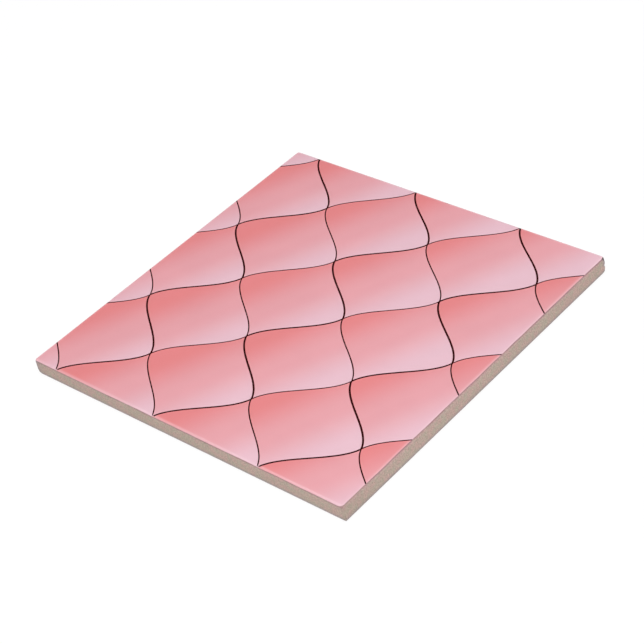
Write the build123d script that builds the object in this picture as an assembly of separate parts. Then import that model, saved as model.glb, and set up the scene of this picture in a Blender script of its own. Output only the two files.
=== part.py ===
"""Square decorative wall tile: a dust-pressed ceramic body, glazed and fired as one piece.

Millimetres, +Z up. The tile lies on its back with the glazed face up. The origin is the centre of
the back, on the plane of the ribs that the tile is bedded on.
"""

import os

from build123d import *

# Body
SIDE = 152.0  # across the tile, side to side: a nominal 6 in module
THICKNESS = 6.4  # ribs of the back to the glazed face: a nominal 1/4 in
CORNER_RADIUS = 1.2  # upright corners, seen from above
FACE_ROLL = 1.0  # radius of the rolled edge that the glaze runs over, less than the corners'
BACK_ARRIS = 0.5  # bevel around the back, which the press leaves fettled

# Keyed back: shallow pockets in a square grid, which leave ribs and a border to bed the tile on
KEY_DEPTH = 0.7  # pocket floor above the rib tops
KEY_PITCH = 17.5  # pocket to pocket
RIB_WIDTH = 2.5  # between two pockets, at the rib tops
BACK_BORDER = 6.0  # least plain width around the grid
KEY_CORNER = 2.0  # corners of a pocket's mouth
KEY_DRAFT = 35.0  # degrees that a pocket's walls lean, so that the punch lifts out


def pressed_body():
    """The plain slab with upright corners, a rolled face edge and a bevelled back."""
    with BuildPart() as body:
        with BuildSketch():
            RectangleRounded(SIDE, SIDE, CORNER_RADIUS)
        extrude(amount=THICKNESS)
        top_and_bottom = body.faces().filter_by(Axis.Z).sort_by(Axis.Z)
        fillet(top_and_bottom[-1].edges(), FACE_ROLL)
        chamfer(top_and_bottom[0].edges(), BACK_ARRIS)
    return body.part


def back_keys():
    """The pockets of the back, widest at their mouths on the back plane."""
    pocket = KEY_PITCH - RIB_WIDTH
    per_row = int((SIDE - 2 * BACK_BORDER + RIB_WIDTH) // KEY_PITCH)
    with BuildPart() as keys:
        with BuildSketch():
            with GridLocations(KEY_PITCH, KEY_PITCH, per_row, per_row):
                RectangleRounded(pocket, pocket, KEY_CORNER)
        extrude(amount=KEY_DEPTH, taper=KEY_DRAFT)
    return keys.part


os.makedirs("parts", exist_ok=True)
tile = pressed_body() - back_keys()
export_step(tile, "parts/tile.step")
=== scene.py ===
"""Looks of a square glazed wall tile, laid out as an add-on and run as a script.

Metres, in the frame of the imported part: the tile lies on its back on the floor with its glazed face up,
and the origin is the centre of its back.
"""

import math

import bmesh
import bpy
import numpy as np
from bpy.props import FloatProperty, FloatVectorProperty, IntProperty, PointerProperty
from mathutils import Color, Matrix, Quaternion, Vector, noise


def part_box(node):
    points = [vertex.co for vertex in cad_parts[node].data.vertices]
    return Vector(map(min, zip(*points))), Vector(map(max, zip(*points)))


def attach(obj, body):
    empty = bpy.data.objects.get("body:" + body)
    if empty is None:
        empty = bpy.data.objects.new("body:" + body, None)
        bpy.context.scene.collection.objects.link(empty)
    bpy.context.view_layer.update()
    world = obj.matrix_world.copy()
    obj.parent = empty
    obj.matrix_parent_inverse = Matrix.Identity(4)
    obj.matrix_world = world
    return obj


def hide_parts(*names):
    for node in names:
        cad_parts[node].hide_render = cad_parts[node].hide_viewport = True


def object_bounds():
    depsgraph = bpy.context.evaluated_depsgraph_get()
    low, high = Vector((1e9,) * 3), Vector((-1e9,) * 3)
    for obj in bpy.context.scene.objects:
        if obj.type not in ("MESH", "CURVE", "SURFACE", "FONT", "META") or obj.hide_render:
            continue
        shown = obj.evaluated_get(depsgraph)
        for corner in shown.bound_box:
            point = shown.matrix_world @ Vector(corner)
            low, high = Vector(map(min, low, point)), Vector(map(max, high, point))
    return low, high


bl_info = {
    "name": "Decorative Tile",
    "version": (1, 0, 0),
    "blender": (4, 5, 0),
    "location": "View3D > Sidebar > Tile",
    "description": "Builds a square glazed wall tile with a printed lattice face, and a plain stage for it",
    "category": "Mesh",
}

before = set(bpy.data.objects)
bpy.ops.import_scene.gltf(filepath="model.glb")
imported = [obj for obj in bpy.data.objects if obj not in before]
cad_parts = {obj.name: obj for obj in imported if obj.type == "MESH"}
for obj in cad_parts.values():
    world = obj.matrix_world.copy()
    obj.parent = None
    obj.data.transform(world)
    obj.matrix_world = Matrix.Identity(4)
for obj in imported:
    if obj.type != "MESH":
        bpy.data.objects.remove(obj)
CAD_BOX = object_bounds()
TILE_NODE = "tile"
TILE_BODY = "root"
LOW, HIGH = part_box(TILE_NODE)
MM = 0.001

# Fineness of the mesh
KEY_SPANS = 12  # spans along one side of a key's square on the back, corners included
KEY_CORNER_SPANS = 6  # spans around a corner of a key
CORNER_SPANS = 8  # spans around an upright corner of the tile
GLAZE_RINGS = 6  # rings down the glazed part of the rolled edge
ROLL_RINGS = 5  # rings down the bare part of it
SIDE_RINGS = 16
BEVEL_RINGS = 6
WALL_RINGS = 5  # rings down a key's wall
WELD = 0.001 * MM

# Materials of the mesh, in the order of its slots
GLAZE = 0
BODY = 1

# Where the face with its sides, and the back, lie on the unit map that textures are baked on
FLAT_MAP = "OFBake"
FACE_MAP = (0.0, 0.785)
BACK_MAP = (0.795, 0.2)

# Seeds of the smooth noise in the glaze's lower edge, the glazed face and the bare sides
GLAZE_SEED = 3.7
FACE_SEED = 11.3
SIDE_SEED = 7.9

# Detail of the noise in the bare body
FINE_DETAIL = 3.0

# Attribute of the points that says how far below the glaze they lie
BELOW_GLAZE = "below_glaze"
WELL_CLEAR = 1.0


def length(name, description, millimetres):
    """A size for a panel, given here in millimetres."""
    return FloatProperty(
        name=name, description=description, default=millimetres * MM, precision=5,
        subtype="DISTANCE", unit="LENGTH")


def angle(name, description, degrees):
    """An angle for a panel, given here in degrees."""
    return FloatProperty(
        name=name, description=description, default=math.radians(degrees), subtype="ANGLE", unit="ROTATION")


def share(name, description, value):
    """A share or level for a panel."""
    return FloatProperty(name=name, description=description, default=value, min=0.0, subtype="FACTOR")


def count(name, description, value):
    """A whole number for a panel."""
    return IntProperty(name=name, description=description, default=value, min=1)


def colour(name, description, *shown):
    """A colour for a panel, given here as a screen shows it, from 0 to 255."""
    linear = Color([part / 255 for part in shown]).from_srgb_to_scene_linear()
    return FloatVectorProperty(
        name=name, description=description, default=linear[:], size=3, min=0.0, max=1.0, subtype="COLOR")


class TileForm(bpy.types.PropertyGroup):
    """Sizes of the pressed and glazed tile"""

    side: length("Side", "Across the tile, side to side", (HIGH.x - LOW.x) / MM)
    thickness: length("Thickness", "From the back's ribs to the glazed face", (HIGH.z - LOW.z) / MM)
    corner_radius: length("Corner radius", "Upright corners, seen from above", 1.2)
    near_corner: length("Near corner", "Radius of the near right corner, the sharpest", 0.25)
    right_corner: length("Right corner", "Radius of the far right corner, which is chipped", 1.55)
    far_corner: length("Far corner", "Radius of the far left corner, the most worn", 2.8)
    face_roll: length("Face roll", "Radius of the rolled edge that the glaze runs over", 1.0)
    back_bevel: length("Back bevel", "Bevel around the back", 0.5)
    keys_across: count("Keys across", "Pockets in one row of the back", 8)
    key_depth: length("Key depth", "Floor of a pocket above the ribs", 0.7)
    key_pitch: length("Key pitch", "Pocket to pocket", 17.5)
    rib_width: length("Rib width", "Between two pockets, at the rib tops", 2.5)
    key_corner: length("Key corner", "Corner radius of a pocket's mouth", 2.0)
    key_draft: angle("Key draft", "Lean of a pocket's walls", 35.0)
    glaze_reach: angle("Glaze reach", "How far around the rolled edge the glaze runs", 51.0)
    right_reach: angle("Right reach", "How far it runs on the right side, where it stops short", 12.0)
    right_gain: angle("Right gain", "How much farther it runs there from the middle to the far end", 10.0)
    glaze_wander: angle("Glaze wander", "How far the glaze's lower edge strays from that", 8.0)
    glaze_lip: length("Glaze lip", "Step from the glaze's edge down to the bare body", 0.07)
    glaze_ripple: length("Glaze ripple", "Depth of the slow waves in the glazed face", 0.02)
    side_wave: length("Side wave", "Unevenness of the bare sides", 0.04)
    chip_radius: length("Chip radius", "Reach of the chip in the far right corner", 1.2)
    chip_depth: length("Chip depth", "Depth of that chip", 0.5)
    chip_flatness: share("Chip flatness", "How many times as wide as high that chip is", 0.7)
    nick_radius: length("Nick radius", "Reach of the nick below that chip", 1.7)
    nick_depth: length("Nick depth", "Depth of that nick", 0.75)
    nick_flatness: share("Nick flatness", "How many times as wide as high that nick is", 1.7)
    nick_height: share("Nick height", "How far up the tile's thickness that nick is", 0.43)
    foot_radius: length("Foot radius", "Reach of the wear at the foot of the left and right corners", 2.2)
    foot_depth: length("Foot depth", "Depth of that wear", 0.3)
    tip_radius: length("Tip radius", "Radius of the glaze's tip at the near corner, bare past it", 1.7)
    tip_blur: length("Tip blur", "Softness of the glaze's edge there", 0.2)


class TilePrint(bpy.types.PropertyGroup):
    """Layout and colours of the lattice printed on the face"""

    cells_across: count("Cells across", "Lattice cells from side to side", 3)
    cell_rows: count("Cell rows", "Lattice cells from end to end", 3)
    ogee: share("Ogee", "Roundness of the lattice's curves, from straight to a full wave", 0.62)
    bold_line: length("Bold line", "Width of the lines that rise to the right of a cell's tip", 0.74)
    fine_line: length("Fine line", "Width of the lines that rise to the left", 0.5)
    line_blur: length("Line blur", "Softness of a line's edge", 0.05)
    register: FloatVectorProperty(
        name="Register", description="How far the print lies off the tile's centre", size=2,
        default=(-0.35 * MM, -0.35 * MM), precision=5, subtype="XYZ", unit="LENGTH")
    tilt: share("Shading tilt", "How far a cell's shading leans towards its lower tip", 0.5)
    cell_change: share("Cell change", "How much the shading changes from cell to cell", 0.1)
    fade: share("Fade", "How much paler the shading gets from the left side to the right", 0.2)
    deep: colour("Deep", "Darker side of a cell", 230, 136, 138)
    middle: colour("Middle", "Middle of a cell", 231, 164, 171)
    pale: colour("Pale", "Paler side of a cell", 232, 192, 204)
    ink: colour("Ink", "Lines of the lattice", 58, 8, 9)
    # Paler print near the sides: partly thinner ink, partly painted highlight along the rolled edge
    thin: colour("Thin print", "Print that thins out over the rolled edge", 240, 205, 211)
    thin_width: length("Thin width", "How far in from the sides the print is thin", 1.7)
    thin_share: share("Thin share", "How much of the thin print shows", 0.4)
    ink_margin: length("Ink margin", "How far in from the sides the lines are whole", 0.65)
    cloud: share("Cloud", "How much the pinks vary in slow clouds", 0.08)
    gloss: share("Roughness", "Roughness of the glaze", 0.1)
    smear: share("Smear", "How much that roughness varies", 0.06)
    peel: length("Peel", "Height of the glaze's finest waves", 0.004)


class TileStock(bpy.types.PropertyGroup):
    """Colours of the bare fired body, and of the shade painted on it"""

    grey: colour("Grey", "Greyer patches of the body", 184, 170, 155)
    warm: colour("Warm", "Warmer patches of the body", 194, 166, 157)
    # Also the colour of the painted shade towards the near end of the right side
    grog_and_shade: colour("Grog", "Dark grains in the body", 138, 120, 110)
    # Also the colour of the painted shade on the right side's bare roll
    stain: colour("Stain", "Body just under the glaze", 150, 106, 118)
    stain_width: length("Stain width", "How far below the glaze the stain reaches", 1.0)
    stain_share: share("Stain share", "How much of the stain shows", 0.15)
    seam_share: share("Seam share", "How much more of it shows close to the glaze, at the most", 0.5)
    # Painted shade on the upper part of the right side's bare roll, in the stain's colour
    roll_shade_share: share("Roll share", "How much more of it shows on the right side's bare roll", 0.2)
    # Colour of the painted shade along the back's edge and on the left and right corners
    foot: colour("Foot", "Body along the back's edge, where it has been handled", 138, 141, 153)
    foot_share: share("Foot share", "How much of the foot's colour shows along the edge", 0.45)
    corner_share: share("Corner share", "How much of it shows on the left and right corners", 0.5)
    # Painted shade on the right side, darker towards the near corner
    near_share: share("Near share", "How much darker the right side is towards the near corner", 0.16)
    # Painted shade in the chip's hollow, much darker than the bare body
    chip: colour("Chip", "Body in the chipped corner", 64, 52, 50)
    patch: length("Patch", "Width of the body's patches", 2.2)
    grain: length("Grain", "Width of the body's grains", 0.52)
    contrast: share("Contrast", "How much lighter and darker the grains are", 1.2)
    speck: length("Speck", "Spacing of the dark grains", 0.6265)
    speck_share: share("Speck share", "How much of the dark grains' colour shows", 0.6)
    relief: length("Relief", "Height of the grains", 0.03)


class TileStage(bpy.types.PropertyGroup):
    """The plain studio around the tile"""

    floor: colour("Floor", "Colour of the floor", 252, 252, 252)
    floor_glow: share("Floor glow", "How much of the floor's white is its own, past the shadow", 0.85)
    glow_level: share("Glow level", "Level of that white of its own", 1.02)
    horizon: share("Horizon", "Level of the light low down all round", 1.2)
    walls: share("Walls", "Level of the light from the walls", 0.06)
    overhead: share("Overhead", "Level of the light from above", 1.62)
    lamp_power: FloatProperty(name="Lamp power", description="Power of the lamp", default=2.0, unit="POWER")
    lamp_size: length("Lamp size", "Across the square lamp", 400.0)
    lamp_azimuth: angle("Lamp azimuth", "Lamp's place around the tile, from the near side", 53.0)
    lamp_elevation: angle("Lamp elevation", "Lamp's height above the floor, as an angle", 55.0)
    lamp_distance: length("Lamp distance", "Lamp to the middle of the tile", 750.0)
    azimuth: angle("Camera azimuth", "Camera's place around the tile, from the near side", 47.86)
    elevation: angle("Camera elevation", "Camera's height above the floor, as an angle", 37.944)
    roll: angle("Camera roll", "Turn of the camera about its own axis", -11.92)
    distance: length("Camera distance", "Camera to the point that it looks at", 698.73)
    aim: FloatVectorProperty(
        name="Camera aim", description="Point of the face that the camera looks at", size=3,
        default=(6.64 * MM, -5.52 * MM, HIGH.z), precision=5, subtype="XYZ", unit="LENGTH")
    lens: FloatProperty(
        name="Lens", description="Focal length of the camera", default=106.79, unit="CAMERA")


class TileSettings(bpy.types.PropertyGroup):
    """All settings of the tile and its stage"""

    form: PointerProperty(type=TileForm, name="Form", description="Sizes of the tile")
    print: PointerProperty(type=TilePrint, name="Print", description="The printed face")
    stock: PointerProperty(type=TileStock, name="Body", description="The bare fired body")
    stage: PointerProperty(type=TileStage, name="Stage", description="Floor, light and camera")


# Surface of the tile

class Surface:
    """Points, faces, finishes and map places of a surface, gathered before they become a mesh."""

    def __init__(self):
        self.points = []
        self.places = []
        self.below_glaze = []
        self.faces = []
        self.finishes = []

    def add_points(self, points, places, below_glaze=WELL_CLEAR):
        """Adds points with their places on the map and depth below the glaze, and returns their numbers."""
        first = len(self.points)
        self.points.extend(np.asarray(points, float).tolist())
        self.places.extend(np.asarray(places, float).tolist())
        self.below_glaze.extend(np.broadcast_to(below_glaze, len(points)).tolist())
        return np.arange(first, len(self.points))

    def add_face(self, corners, finish, facing_down=False):
        """Adds a face whose corners run anticlockwise seen from above or outside, or turns it over."""
        numbers = [int(corner) for corner in corners]
        self.faces.append(numbers[::-1] if facing_down else numbers)
        self.finishes.append(finish)

    def add_grid(self, numbers, finish, facing_down=False):
        """Fills a grid of points, numbered along X and then Y, with quads."""
        for i in range(numbers.shape[0] - 1):
            for j in range(numbers.shape[1] - 1):
                corners = (numbers[i, j], numbers[i + 1, j], numbers[i + 1, j + 1], numbers[i, j + 1])
                self.add_face(corners, finish, facing_down)

    def add_band(self, inner, outer, finish, facing_down=False):
        """Joins two closed rings of as many points, the inner one higher or nearer the middle."""
        for here, after in zip(range(len(inner)), np.roll(range(len(inner)), -1)):
            self.add_face((inner[here], outer[here], outer[after], inner[after]), finish, facing_down)

    def to_object(self, name, materials):
        """Makes a closed mesh object, with points that lie together welded."""
        mesh = bpy.data.meshes.new(name)
        mesh.from_pydata(self.points, [], self.faces)
        mesh.polygons.foreach_set("material_index", self.finishes)
        flat = mesh.uv_layers.new(name=FLAT_MAP)
        corners = np.zeros(len(mesh.loops), int)
        mesh.loops.foreach_get("vertex_index", corners)
        flat.data.foreach_set("uv", np.array(self.places)[corners].ravel())
        mesh.attributes.new(BELOW_GLAZE, "FLOAT", "POINT").data.foreach_set("value", self.below_glaze)
        shape = bmesh.new()
        shape.from_mesh(mesh)
        bmesh.ops.remove_doubles(shape, verts=shape.verts, dist=WELD)
        if not all(edge.is_manifold for edge in shape.edges):
            raise RuntimeError(f"the surface of {name} is not closed")
        for face in shape.faces:
            face.smooth = True
        shape.to_mesh(mesh)
        shape.free()
        for material in materials:
            mesh.materials.append(material)
        piece = bpy.data.objects.new(name, mesh)
        bpy.context.scene.collection.objects.link(piece)
        return piece


def on_map(places, extent, square):
    """Moves places about the origin, spread over extent, into a square of the unit map."""
    start, width = square
    return start + width * (np.asarray(places) / extent + 0.5)


def stray(points, feature, seed):
    """Smooth noise from about -1 to 1 at each point, with features of about that width."""
    shift = Vector((seed, seed, seed))
    return np.array([noise.noise(Vector(point) / feature + shift) for point in points])


def eased(value):
    """A share from 0 to 1 with a gentle start and end."""
    value = np.clip(value, 0.0, 1.0)
    return value * value * (3.0 - 2.0 * value)


def steps(number):
    """Shares of the way at the end of each step, the last being 1."""
    return np.arange(1, number + 1) / number


def corner_turns(spans):
    """Angles of the points around a rounded corner, as rounded_patch spaces them."""
    first_half = np.arcsin(np.arange(spans // 2 + 1) / (spans // 2) / math.sqrt(2))
    return np.concatenate([first_half, math.pi / 2 - first_half[-2::-1]])


def quarter_turn(pairs, quarters):
    """Turns X and Y pairs by quarter turns, anticlockwise."""
    turned = np.asarray(pairs, float)
    for _ in range(quarters):
        turned = np.column_stack([-turned[:, 1], turned[:, 0]])
    return turned


def outline(core, spans, corner_spans):
    """Columns around a rounded square: the point that each starts from, and the way that it faces.

    The starting points lie on a square of half-width core, where a corner's columns share one point.
    """
    along = np.linspace(-core, core, spans + 1)
    turns = corner_turns(corner_spans)[1:-1]
    starts = [(x, -core) for x in along] + [(core, -core)] * len(turns)
    facings = [(0.0, -1.0)] * len(along) + [(math.sin(turn), -math.cos(turn)) for turn in turns]
    return (
        np.concatenate([quarter_turn(starts, quarters) for quarters in range(4)]),
        np.concatenate([quarter_turn(facings, quarters) for quarters in range(4)]))


def rounded_patch(core, outset, spans, corner_spans):
    """X and Y of a grid over a rounded square, whose edge points lie at that outset from outline()."""
    past = outset * steps(corner_spans // 2)
    marks = np.concatenate([-core - past[::-1], np.linspace(-core, core, spans + 1), core + past])
    x, y = np.meshgrid(marks, marks, indexing="ij")
    past_x = np.maximum(np.abs(x) - core, 0.0) / outset
    past_y = np.maximum(np.abs(y) - core, 0.0) / outset
    rounded_x = np.minimum(np.abs(x), core) + outset * past_x * np.sqrt(1 - past_y**2 / 2)
    rounded_y = np.minimum(np.abs(y), core) + outset * past_y * np.sqrt(1 - past_x**2 / 2)
    return np.sign(x) * rounded_x, np.sign(y) * rounded_y


def patch_rim(numbers, corner_spans):
    """Numbers of a patch's edge points, in the order of outline()."""
    around = np.concatenate([
        numbers[:-1, 0], numbers[-1, :-1], numbers[:0:-1, -1], numbers[0, :0:-1]])
    return np.roll(around, -(corner_spans // 2))


def corner_shift(form, starts, facings):
    """How far each column's side stands past the plain round corners, as some have their own radius."""
    to_right, to_far = starts.T > 0
    near = np.where(to_right, form.near_corner, form.corner_radius)
    far = np.where(to_right, form.right_corner, form.far_corner)
    radius = np.where(to_far, far, near)
    past_core = np.abs(starts) - (form.side / 2 - form.corner_radius)
    facing = np.abs(facings)
    straight = ((form.corner_radius - past_core) / np.maximum(facing, 1e-9)).min(axis=1)
    past_hub = past_core - (form.corner_radius - radius)[:, None]
    rounded = (past_hub + facing * straight[:, None] > 0).all(axis=1)
    along = (facing * past_hub).sum(axis=1)
    to_round = np.sqrt(np.maximum(along**2 - (past_hub**2).sum(axis=1) + radius**2, 0.0)) - along
    return np.where(rounded, to_round, straight) - form.corner_radius


def right_corner_outset(form, flat_out):
    """How far the side stands out from the core's far right corner, that way."""
    core = form.side / 2 - form.corner_radius
    shift = corner_shift(form, np.array([(core, core)]), np.array([flat_out.xy]))[0]
    return form.corner_radius + shift


def glaze_edge(form, starts, facings):
    """Angle around the rolled edge at which the glaze ends, in each column."""
    feature = 9 * MM
    level_starts = np.column_stack([starts, np.zeros(len(starts))])
    wander = form.glaze_wander * stray(level_starts, feature, GLAZE_SEED)
    to_right = eased(facings[:, 0])
    right_reach = form.right_reach + form.right_gain * starts[:, 1] / (form.side / 2)
    reach = form.glaze_reach + to_right * (right_reach - form.glaze_reach) + wander
    return np.maximum(reach, math.radians(1))


def edge_rings(form, glaze_end):
    """Rings from the face down to the back, each an outset and a height per column and a finish.

    The glaze stops on the rolled edge in a lip, below which the bare body runs out to the side.
    """
    columns = np.ones(len(glaze_end))
    hub_out = form.corner_radius - form.face_roll
    hub_up = form.thickness - form.face_roll
    lip_turn = form.glaze_lip / form.face_roll
    body_start = glaze_end + lip_turn
    rolled = [(along * glaze_end, 0.0, GLAZE) for along in steps(GLAZE_RINGS)]
    rolled.append((glaze_end + 0.4 * lip_turn, 0.3 * form.glaze_lip, GLAZE))
    rolled.append((body_start, form.glaze_lip, BODY))
    for along in steps(ROLL_RINGS):
        turn = body_start + along * (math.pi / 2 - body_start)
        rolled.append((turn, form.glaze_lip * (1 - along), BODY))
    rings = []
    for turn, inset, finish in rolled:
        radius = form.face_roll - inset
        rings.append((hub_out + radius * np.sin(turn), hub_up + radius * np.cos(turn), finish))
    for along in steps(SIDE_RINGS):
        height = hub_up + along * (form.back_bevel - hub_up)
        rings.append((form.corner_radius * columns, height * columns, BODY))
    worn = 1.5  # power of the bevel's curve: 1 is flat and 2 is round
    for along in steps(BEVEL_RINGS):
        turn = along * math.pi / 2
        left_out = 1 - math.cos(turn) ** (2 / worn)
        left_up = 1 - math.sin(turn) ** (2 / worn)
        outset = form.corner_radius - form.back_bevel * left_out
        rings.append((outset * columns, form.back_bevel * left_up * columns, BODY))
    return rings


def chip_place(form):
    """Middle of the chip, on the rolled edge of the tile's far right corner, and the way it faces."""
    core = form.side / 2 - form.corner_radius
    around = math.radians(32)
    down = math.radians(60)
    flat_out = Vector((math.cos(around), math.sin(around), 0.0))
    facing = flat_out * math.sin(down) + Vector((0.0, 0.0, math.cos(down)))
    hub_out = right_corner_outset(form, flat_out) - form.face_roll
    hub = Vector((core, core, form.thickness - form.face_roll)) + flat_out * hub_out
    return hub + facing * form.face_roll, facing


def nick_place(form):
    """Middle of the nick, half way down the same corner, and the way it faces."""
    core = form.side / 2 - form.corner_radius
    around = math.radians(47)
    facing = Vector((math.cos(around), math.sin(around), 0.0))
    axis_point = Vector((core, core, form.nick_height * form.thickness))
    return axis_point + facing * right_corner_outset(form, facing), facing


def foot_place(form, side):
    """Foot of the far right corner, or of the near left one where side is -1, and the way it faces."""
    core = form.side / 2 - form.corner_radius
    flat_out = Vector((side, side, 0.0)).normalized()
    return Vector((side * core, side * core, 0.0)) + flat_out * form.corner_radius, flat_out


def knock_corners(form, points):
    """Presses the chip, the nick and the two worn feet into points near them."""
    as_wide_as_high = 1.0
    for (middle, facing), radius, depth, flatness in (
            (chip_place(form), form.chip_radius, form.chip_depth, form.chip_flatness),
            (nick_place(form), form.nick_radius, form.nick_depth, form.nick_flatness),
            (foot_place(form, 1.0), form.foot_radius, form.foot_depth, as_wide_as_high),
            (foot_place(form, -1.0), form.foot_radius, form.foot_depth, as_wide_as_high)):
        offset = (points - np.array(middle)) * (1.0, 1.0, flatness)
        away = np.linalg.norm(offset, axis=1) / radius
        points = points - depth * eased(1 - away)[:, None] * np.array(facing)
    return points


def add_face_and_sides(surface, form):
    """The glazed face, its rolled edge and the sides. Returns the ring around the back, as points."""
    core = form.side / 2 - form.corner_radius
    hub_out = form.corner_radius - form.face_roll
    spans = form.keys_across * KEY_SPANS
    starts, facings = outline(core, spans, CORNER_SPANS)
    rings = edge_rings(form, glaze_edge(form, starts, facings))
    outsets = np.array([np.full(len(starts), hub_out), *(outset for outset, _, _ in rings)])
    heights = np.array([np.full(len(starts), form.thickness), *(height for _, height, _ in rings)])
    runs = np.cumsum(np.hypot(np.diff(outsets, axis=0), np.diff(heights, axis=0)), axis=0)
    glaze_run = runs[[finish for _, _, finish in rings].index(BODY) - 1]
    extent = 2 * (core + hub_out + runs[-1].max())
    shift = corner_shift(form, starts, facings)

    x, y = rounded_patch(core, hub_out, spans, CORNER_SPANS)
    face = np.column_stack([x.ravel(), y.ravel(), np.full(x.size, form.thickness)])
    from_edge = form.side / 2 - form.face_roll - np.abs(face[:, :2]).max(axis=1)
    level_rim = 10 * MM
    ripple_width = 24 * MM
    wave = 0.5 + 0.5 * stray(face, ripple_width, FACE_SEED)
    face[:, 2] -= form.glaze_ripple * wave * eased(from_edge / level_rim)
    numbers = surface.add_points(face, on_map(face[:, :2], extent, FACE_MAP)).reshape(x.shape)
    surface.add_grid(numbers, GLAZE)

    above = patch_rim(numbers, CORNER_SPANS)
    wave_width = 5 * MM
    for (outset, height, finish), run in zip(rings, runs):
        around_roll = np.clip((outset - hub_out) / form.face_roll, 0.0, 1.0)
        outset = outset + shift * around_roll**3
        points = np.column_stack([starts + facings * outset[:, None], height])
        if finish == BODY:
            sunk = form.side_wave * (0.5 + 0.5 * stray(points, wave_width, SIDE_SEED))
            sunk *= eased((form.thickness - form.face_roll / 2 - height) / form.face_roll)
            points[:, :2] -= facings * sunk[:, None]
        points = knock_corners(form, points)
        places = on_map(starts + facings * (hub_out + run)[:, None], extent, FACE_MAP)
        below = surface.add_points(points, places, np.maximum(run - glaze_run, 0.0))
        surface.add_band(above, below, finish)
        above = below
    return points


def add_keyed_back(surface, form, rim):
    """The back inside its rim: a plain border, ribs, and pockets with leaning walls."""
    core = (form.key_pitch - form.rib_width) / 2 - form.key_corner
    starts, facings = outline(core, KEY_SPANS - KEY_CORNER_SPANS, KEY_CORNER_SPANS)
    to_cell = (form.key_pitch / 2 - core) / np.abs(facings).max(axis=1)
    wall_run = form.key_depth * math.tan(form.key_draft)
    rib_edge = 0.15 * MM
    rings = [(to_cell, 0.0), (form.key_corner + rib_edge, 0.0)]
    for along in [0.0, *steps(WALL_RINGS)[:-1]]:
        rings.append((form.key_corner - wall_run * along, form.key_depth * float(eased(along))))
    floor_x, floor_y = rounded_patch(
        core, form.key_corner - wall_run, KEY_SPANS - KEY_CORNER_SPANS, KEY_CORNER_SPANS)
    block = form.keys_across * form.key_pitch
    middles = (np.arange(form.keys_across) + 0.5) * form.key_pitch - block / 2

    def add(flat, height):
        """Adds points of the back that lie at one height."""
        points = np.column_stack([flat, np.broadcast_to(height, len(flat))])
        return surface.add_points(points, on_map(flat, form.side, BACK_MAP))

    for middle in np.array(np.meshgrid(middles, middles)).reshape(2, -1).T:
        outer = None
        for outset, height in rings:
            inner = add(middle + starts + facings * np.reshape(outset, (-1, 1)), height)
            if outer is not None:
                surface.add_band(inner, outer, BODY, facing_down=True)
            outer = inner
        floor = np.column_stack([floor_x.ravel(), floor_y.ravel()])
        numbers = add(middle + floor, form.key_depth).reshape(floor_x.shape)
        surface.add_band(patch_rim(numbers, KEY_CORNER_SPANS), outer, BODY, facing_down=True)
        surface.add_grid(numbers, BODY, facing_down=True)

    cell = starts + facings * to_cell[:, None]
    marks = np.unique(cell[np.isclose(cell[:, 1], -form.key_pitch / 2), 0].round(9))
    edge = [*(middle + mark for middle in middles for mark in marks[:-1]), block / 2]
    around = surface.add_points(rim, on_map(rim[:, :2], form.side, BACK_MAP))
    spans = form.keys_across * KEY_SPANS
    for quarters in range(4):
        side = add(quarter_turn([(x, -block / 2) for x in edge], quarters), 0.0)
        first = quarters * (spans + CORNER_SPANS)
        for step in range(spans):
            corners = (around[first + step], around[first + step + 1], side[step + 1], side[step])
            surface.add_face(corners, BODY, facing_down=True)
        for step in range(first + spans, first + spans + CORNER_SPANS):
            corners = (around[step], around[(step + 1) % len(around)], side[-1])
            surface.add_face(corners, BODY, facing_down=True)


# Finishes

class Wire:
    """An output of a node. Sums with it add Math nodes."""

    def __init__(self, nodes, socket):
        self.nodes = nodes
        self.socket = socket

    def math(self, operation, *others):
        """Adds a Math node that starts from this output."""
        return self.nodes.add("Math", inputs=dict(enumerate((self, *others))), operation=operation)

    def __add__(self, other):
        return self.math("ADD", other)

    def __sub__(self, other):
        return self.math("SUBTRACT", other)

    def __mul__(self, other):
        return self.math("MULTIPLY", other)

    def __truediv__(self, other):
        return self.math("DIVIDE", other)

    def __abs__(self):
        return self.math("ABSOLUTE")

    def off_whole(self):
        """How far the value is from the nearest whole number."""
        return abs(self - self.math("ROUND"))


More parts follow.
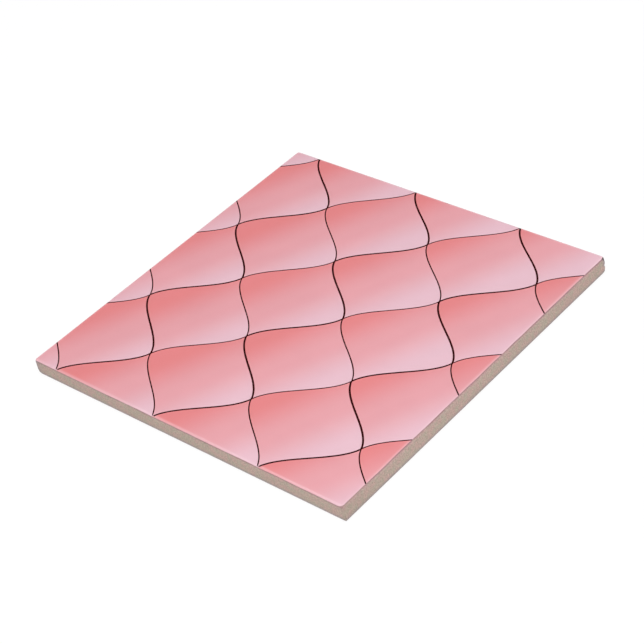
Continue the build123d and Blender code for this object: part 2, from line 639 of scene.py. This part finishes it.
class Nodes:
    """A node tree, with short ways to add to it."""

    def __init__(self, tree):
        self.tree = tree

    def feed(self, socket, value):
        """Links an output to an input, or sets the input to a value."""
        if isinstance(value, Wire):
            self.tree.links.new(value.socket, socket)
        elif socket.type == "RGBA":
            socket.default_value = (*value, 1.0)
        else:
            socket.default_value = value

    def add(self, kind, output=0, inputs=None, **settings):
        """Adds a node with its settings and inputs, and returns one of its outputs."""
        node = self.tree.nodes.new("ShaderNode" + kind)
        for name, value in settings.items():
            setattr(node, name, value)
        for socket, value in (inputs or {}).items():
            self.feed(node.inputs[socket], value)
        return Wire(self, node.outputs[output])

    def mix(self, factor, first, second, blend="MIX"):
        """Mixes two colours."""
        factor_input, first_input, second_input, colour_output = 0, 6, 7, 2
        inputs = {factor_input: factor, first_input: first, second_input: second}
        return self.add("Mix", colour_output, inputs, data_type="RGBA", blend_type=blend)

    def between(self, value, start, end):
        """A share that eases from 0 at start to 1 at end."""
        inputs = {"Value": value, "From Min": start, "From Max": end}
        return self.add("MapRange", "Result", inputs, interpolation_type="SMOOTHSTEP")

    def noise(self, place, feature, detail=2.0):
        """Smooth noise about 0.5, with features of about that width."""
        return self.add("TexNoise", "Fac", {"Vector": place, "Scale": 1 / feature, "Detail": detail})

    def about(self, level, noise, swing):
        """A level that noise moves by half that swing either way."""
        return noise * swing + (level - swing / 2)

    def ramp(self, factor, stops):
        """Colours along a factor, from pairs of a position and a colour."""
        output = self.add("ValToRGB", "Color", {"Fac": factor})
        band = output.socket.node.color_ramp
        band.interpolation = "EASE"
        for _ in range(len(stops) - len(band.elements)):
            band.elements.new(1.0)
        for element, (position, stop) in zip(band.elements, stops):
            element.position = position
            element.color = (*stop, 1.0)
        return output

    def object_place(self):
        """The point on the piece, in metres, whole and as X, Y and Z."""
        place = self.add("TexCoord", "Object")
        return place, *(self.add("SeparateXYZ", axis, {"Vector": place}) for axis in "XYZ")


def new_material(name):
    """A material, its nodes and its shader."""
    material = bpy.data.materials.new(name)
    material.use_nodes = True
    return material, Nodes(material.node_tree), material.node_tree.nodes["Principled BSDF"]


def printed_lattice(nodes, form, layout, x, y):
    """The ogee lattice: how much line covers a point, and how far across its cell the point lies.

    Two families of waving lines, mirrored, touch at their turns and leave pointed cells between them.
    Across, one is half a cell. Along, one is a whole cell.
    """
    half_cell = form.side / layout.cells_across / 2
    row = form.side / layout.cell_rows
    across = (x - layout.register[0]) / half_cell
    along = (y - layout.register[1]) / row
    turn = along * math.tau
    bent = abs(along.math("FRACT") - 0.5) * 4.0 - 1.0
    swing = bent * (1 - layout.ogee) + turn.math("COSINE") * layout.ogee
    lean = turn.math("SINE") * (math.tau * layout.ogee)
    lean = lean + (along.math("FRACT") - 0.5).math("SIGN") * (-4.0 * (1 - layout.ogee))
    lean = lean * (half_cell / row / 2)
    narrowed = (lean * lean + 1.0).math("SQRT")

    right_leaning = (across - swing * 0.5) * 0.5
    left_leaning = (across + swing * 0.5) * 0.5 - 0.5
    cover = None
    for family, width in ((right_leaning, layout.bold_line), (left_leaning, layout.fine_line)):
        away = family.off_whole() * (2 * half_cell) / narrowed
        line = nodes.between(away, (width + layout.line_blur) / 2, (width - layout.line_blur) / 2)
        cover = line if cover is None else cover.math("MAXIMUM", line)

    strip = right_leaning.math("FLOOR")
    second = (left_leaning - strip).math("GREATER_THAN", 0.0)
    column = strip * 2.0 + second
    shifted = along + second * 0.5
    in_row = shifted.math("FRACT") - 0.5
    number = nodes.add("CombineXYZ", "Vector", {"X": column, "Y": shifted.math("FLOOR")})
    chance = nodes.add("TexWhiteNoise", "Value", {"Vector": number})
    shade = (across - column - 0.5) * 0.5 - in_row * layout.tilt + 0.5
    shade = shade + (chance - 0.5) * layout.cell_change + x * (layout.fade / form.side)
    return cover, shade


def bare_tip(nodes, form, x, y):
    """Share of bare body past the glaze's round tip at the near corner."""
    roll_start = form.side / 2 - form.face_roll
    past_x = x - (roll_start + form.face_roll * math.sin(form.right_reach) - form.tip_radius)
    past_y = y * -1.0 - (roll_start + form.face_roll * math.sin(form.glaze_reach) - form.tip_radius)
    out = (past_x * past_x + past_y * past_y).math("SQRT")
    in_corner = past_x.math("GREATER_THAN", 0.0) * past_y.math("GREATER_THAN", 0.0)
    start = form.tip_radius - form.tip_blur / 2
    return nodes.between(out, start, start + form.tip_blur) * in_corner


def printed_glaze(form, layout, stock):
    """Gloss glaze over the printed lattice, which thins out and pales over the rolled edge; that pale band
    is partly painted highlight along the face's edges.
    """
    material, nodes, shader = new_material("printed_glaze")
    place, x, y, _ = nodes.object_place()
    cover, shade = printed_lattice(nodes, form, layout, x, y)
    cloud_width, smear_width, peel_width = 14 * MM, 6 * MM, 1.6 * MM
    pink = nodes.ramp(shade, [(0.06, layout.deep), (0.5, layout.middle), (0.94, layout.pale)])
    cloud = nodes.about(1.0, nodes.noise(place, cloud_width), layout.cloud)
    pink = nodes.mix(1.0, pink, cloud, "MULTIPLY")
    from_middle = abs(x).math("MAXIMUM", abs(y))
    from_side = from_middle * -1.0 + form.side / 2
    short_by = form.face_roll * (math.sin(form.glaze_reach) - math.sin(form.right_reach))
    from_glaze_edge = from_middle.math("MAXIMUM", x + short_by) * -1.0 + form.side / 2
    # Pale band near the sides: partly thin print, partly painted highlight
    thin = nodes.between(from_glaze_edge, layout.thin_width, 0.0) * layout.thin_share
    pink = nodes.mix(thin, pink, layout.thin)
    whole = nodes.between(from_side, 0.4 * layout.ink_margin, layout.ink_margin)
    printed = nodes.mix(cover * whole, pink, layout.ink)
    stained = 0.35
    bare = nodes.mix(stained, stock.warm, stock.stain)
    nodes.feed(shader.inputs["Base Color"], nodes.mix(bare_tip(nodes, form, x, y), printed, bare))
    smear = nodes.about(layout.gloss, nodes.noise(place, smear_width), layout.smear)
    nodes.feed(shader.inputs["Roughness"], smear)
    peel = nodes.noise(place, peel_width, detail=1.0)
    bump = nodes.add("Bump", "Normal", {"Height": peel, "Distance": layout.peel})
    nodes.feed(shader.inputs["Normal"], bump)
    return material


def grained_body(nodes, stock, place, grain):
    """Patchy taupe with grains in it, some of them dark."""
    patches = nodes.between(nodes.noise(place, stock.patch, FINE_DETAIL), 0.35, 0.65)
    body = nodes.mix(patches, stock.grey, stock.warm)
    body = nodes.mix(1.0, body, nodes.about(1.0, grain, stock.contrast), "MULTIPLY")
    specks = nodes.add("TexVoronoi", "Distance", {"Vector": place, "Scale": 1 / stock.speck})
    return nodes.mix(nodes.between(specks, 0.22, 0.1) * stock.speck_share, body, stock.grog_and_shade)


def stain_and_roll_shade(nodes, form, stock, place, on_right):
    """Share of stain below the glaze and of painted shade: a patchy stain seam close to the glaze, and
    painted shade on the upper part of the right side's bare roll.
    """
    below = nodes.add("Attribute", "Fac", attribute_name=BELOW_GLAZE)
    patch_width = 7 * MM
    patchy = nodes.between(nodes.noise(place, patch_width), 0.3, 0.6)
    seam = nodes.between(below, 0.7 * stock.stain_width, 0.1 * stock.stain_width)
    seam = seam * (patchy + 1.0) * (stock.seam_share / 2)
    height = nodes.add("SeparateXYZ", "Z", {"Vector": place})
    roll_foot = form.thickness - 1.1 * form.face_roll
    roll_top = form.thickness - 0.4 * form.face_roll
    # Painted shade: the upper part of the bare roll is darkened, on the right side only
    roll_shade = nodes.between(height, roll_foot, roll_top)
    faint = nodes.between(below, stock.stain_width, 0.0) * stock.stain_share
    return faint + seam + on_right * roll_shade * stock.roll_shade_share


def shaded(nodes, form, stock, x, y, z):
    """Share of grey painted shade: along the foot of the sides, where they turn down to the floor, and on
    the left and right corners, where they turn away from the light.
    """
    edge = form.side / 2
    from_middle = abs(x).math("MAXIMUM", abs(y))
    # Painted shade along the foot
    foot = nodes.between(z, 4 * form.back_bevel, 0.8 * form.back_bevel) * stock.foot_share
    foot = foot * nodes.between(from_middle, edge - 4 * MM, edge - MM)
    # Painted shade on the left and right corners
    left = nodes.between(x, 4 * MM - edge, -edge) * nodes.between(y, 4 * MM - edge, -edge)
    right = nodes.between(x, edge - 3 * MM, edge - MM) * nodes.between(y, edge - 3 * MM, edge - MM)
    right = right * nodes.between(z, 0.3 * form.thickness, 0.5 * form.thickness)
    return foot.math("MAXIMUM", left.math("MAXIMUM", right) * stock.corner_share)


def chipped(nodes, form, place, grain):
    """Share of the chip in the far right corner, with a ragged edge, which gets painted shade in its hollow.
    """
    middle, _ = chip_place(form)
    ragged = 0.3 * MM
    away = nodes.add("VectorMath", "Value", {0: place, 1: middle}, operation="DISTANCE") + grain * ragged
    return nodes.between(away, form.chip_radius, 0.75 * form.chip_radius)


def fired_body(form, stock):
    """Bare fired body: grained taupe, stained under the glaze, with painted shade on the right side's bare
    roll, along the foot, on the left and right corners, towards the near end of the right side and in the
    chip.
    """
    material, nodes, shader = new_material("fired_body")
    place, x, y, z = nodes.object_place()
    edge = form.side / 2
    grain = nodes.noise(place, stock.grain, FINE_DETAIL)
    on_right = nodes.between(x, edge - 1.5 * MM, edge - 0.8 * MM)
    # Painted shade: the right side darkens towards the near corner, in the dark grains' colour
    near_end_shade = nodes.between(y, 26 * MM - edge, -edge) * on_right * stock.near_share
    body = grained_body(nodes, stock, place, grain)
    # Stain under the glaze, and painted shade on the right side's bare roll
    body = nodes.mix(stain_and_roll_shade(nodes, form, stock, place, on_right), body, stock.stain)
    # Painted shade along the foot and on the left and right corners
    body = nodes.mix(shaded(nodes, form, stock, x, y, z), body, stock.foot)
    body = nodes.mix(near_end_shade, body, stock.grog_and_shade)
    # Painted shade in the chip's hollow
    body = nodes.mix(chipped(nodes, form, place, grain), body, stock.chip)
    nodes.feed(shader.inputs["Base Color"], body)
    shader.inputs["Roughness"].default_value = 0.9
    shader.inputs["Specular IOR Level"].default_value = 0.25
    bump = nodes.add("Bump", "Normal", {"Height": grain, "Distance": stock.relief})
    nodes.feed(shader.inputs["Normal"], bump)
    return material


# Stage

def studio_floor(stage):
    """A wide white floor. To the camera part of its white is its own, and the rest takes the shadow."""
    material, nodes, shader = new_material("studio_floor")
    nodes.feed(shader.inputs["Base Color"], stage.floor)
    shader.inputs["Roughness"].default_value = 1.0
    shader.inputs["Specular IOR Level"].default_value = 0.0
    seen = nodes.add("LightPath", "Is Camera Ray")
    for ray in ("Is Glossy Ray", "Is Transmission Ray"):
        seen = seen.math("MAXIMUM", nodes.add("LightPath", ray))
    white = (1.0, 1.0, 1.0)
    glow = nodes.add("Emission", "Emission", {"Color": white, "Strength": stage.glow_level})
    lit = Wire(nodes, shader.outputs["BSDF"])
    mixed = nodes.add("MixShader", "Shader", {0: seen * stage.floor_glow, 1: lit, 2: glow})
    nodes.feed(material.node_tree.nodes["Material Output"].inputs["Surface"], mixed)
    half = 20.0
    mesh = bpy.data.meshes.new("studio_floor")
    corners = [(-half, -half, 0), (half, -half, 0), (half, half, 0), (-half, half, 0)]
    mesh.from_pydata(corners, [], [range(4)])
    mesh.materials.append(material)
    floor = bpy.data.objects.new("studio_floor", mesh)
    clear_of_back = 0.02 * MM
    floor.location.z = CAD_BOX[0].z - clear_of_back
    bpy.context.scene.collection.objects.link(floor)


def studio_light(stage):
    """A soft light from above and a pale horizon, with dimmer walls between them."""
    world = bpy.data.worlds.new("studio")
    bpy.context.scene.world = world
    world.use_nodes = True
    nodes = Nodes(world.node_tree)
    direction = nodes.add("TexCoord", "Generated")
    up = nodes.add("SeparateXYZ", "Z", {"Vector": direction})
    # How far up a direction points, from level at 0 to straight up at 1, and the light's level there
    levels = ((0.0, stage.horizon), (0.3, stage.walls), (0.68, stage.walls), (0.8, stage.overhead))
    stops = [(position, [level / stage.overhead] * 3) for position, level in levels]
    background = world.node_tree.nodes["Background"]
    nodes.feed(background.inputs["Color"], nodes.ramp(up, stops))
    background.inputs["Strength"].default_value = stage.overhead


def set_looking(looker, aim, azimuth, elevation, distance, roll=0.0):
    """Links a camera or lamp at a place around a point that it looks at."""
    around = Vector((math.sin(azimuth), -math.cos(azimuth), 0.0))
    back = around * math.cos(elevation) + Vector((0.0, 0.0, math.sin(elevation)))
    looker.location = Vector(aim) + back * distance
    looker.rotation_mode = "QUATERNION"
    level = (-back).to_track_quat("-Z", "Y")
    looker.rotation_quaternion = level @ Quaternion((0.0, 0.0, 1.0), roll)
    bpy.context.scene.collection.objects.link(looker)


def studio_lamp(stage):
    """A soft lamp, near enough that the near right of the tile is a little brighter than the rest."""
    data = bpy.data.lights.new("studio_lamp", "AREA")
    data.size = stage.lamp_size
    data.energy = stage.lamp_power
    lamp = bpy.data.objects.new("studio_lamp", data)
    set_looking(lamp, (0.0, 0.0, HIGH.z), stage.lamp_azimuth, stage.lamp_elevation, stage.lamp_distance)


def photo_camera(stage):
    """A camera at the photo's place."""
    data = bpy.data.cameras.new("photo_camera")
    data.lens = stage.lens
    camera = bpy.data.objects.new("photo_camera", data)
    set_looking(camera, stage.aim, stage.azimuth, stage.elevation, stage.distance, stage.roll)
    bpy.context.scene.camera = camera


# Operators and panel

class TILE_OT_make_tile(bpy.types.Operator):
    """Build the tile: the glazed and printed face, the bare sides and the keyed back"""

    bl_idname = "tile.make_tile"
    bl_label = "Make Tile"

    def execute(self, context):
        settings = context.scene.decorative_tile
        surface = Surface()
        rim = add_face_and_sides(surface, settings.form)
        add_keyed_back(surface, settings.form, rim)
        finishes = [
            printed_glaze(settings.form, settings.print, settings.stock),
            fired_body(settings.form, settings.stock)]
        tile = surface.to_object("glazed_tile", finishes)
        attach(tile, TILE_BODY)
        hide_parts(TILE_NODE)
        return {"FINISHED"}


class TILE_OT_set_stage(bpy.types.Operator):
    """Set the tile on a white floor, with soft light and a camera"""

    bl_idname = "tile.set_stage"
    bl_label = "Set Stage"

    def execute(self, context):
        stage = context.scene.decorative_tile.stage
        studio_floor(stage)
        studio_light(stage)
        studio_lamp(stage)
        photo_camera(stage)
        context.scene.view_settings.view_transform = "Standard"
        return {"FINISHED"}


class TILE_PT_panel(bpy.types.Panel):
    """Settings of the tile and its stage"""

    bl_idname = "TILE_PT_panel"
    bl_label = "Decorative Tile"
    bl_space_type = "VIEW_3D"
    bl_region_type = "UI"
    bl_category = "Tile"

    def draw(self, context):
        settings = context.scene.decorative_tile
        for title, group in (
                ("Form", settings.form), ("Print", settings.print),
                ("Body", settings.stock), ("Stage", settings.stage)):
            box = self.layout.box()
            box.label(text=title)
            for name in group.bl_rna.properties.keys():
                if name not in ("rna_type", "name"):
                    box.prop(group, name)
        self.layout.operator(TILE_OT_make_tile.bl_idname)
        self.layout.operator(TILE_OT_set_stage.bl_idname)


CLASSES = (
    TileForm, TilePrint, TileStock, TileStage, TileSettings,
    TILE_OT_make_tile, TILE_OT_set_stage, TILE_PT_panel)


def register():
    """Adds the classes and the scene's settings."""
    for each in CLASSES:
        bpy.utils.register_class(each)
    bpy.types.Scene.decorative_tile = PointerProperty(type=TileSettings)


def unregister():
    """Takes them away again."""
    del bpy.types.Scene.decorative_tile
    for each in reversed(CLASSES):
        bpy.utils.unregister_class(each)


def main():
    """Builds the tile and its stage."""
    register()
    bpy.ops.tile.make_tile()
    bpy.ops.tile.set_stage()


if __name__ == "__main__":
    main()
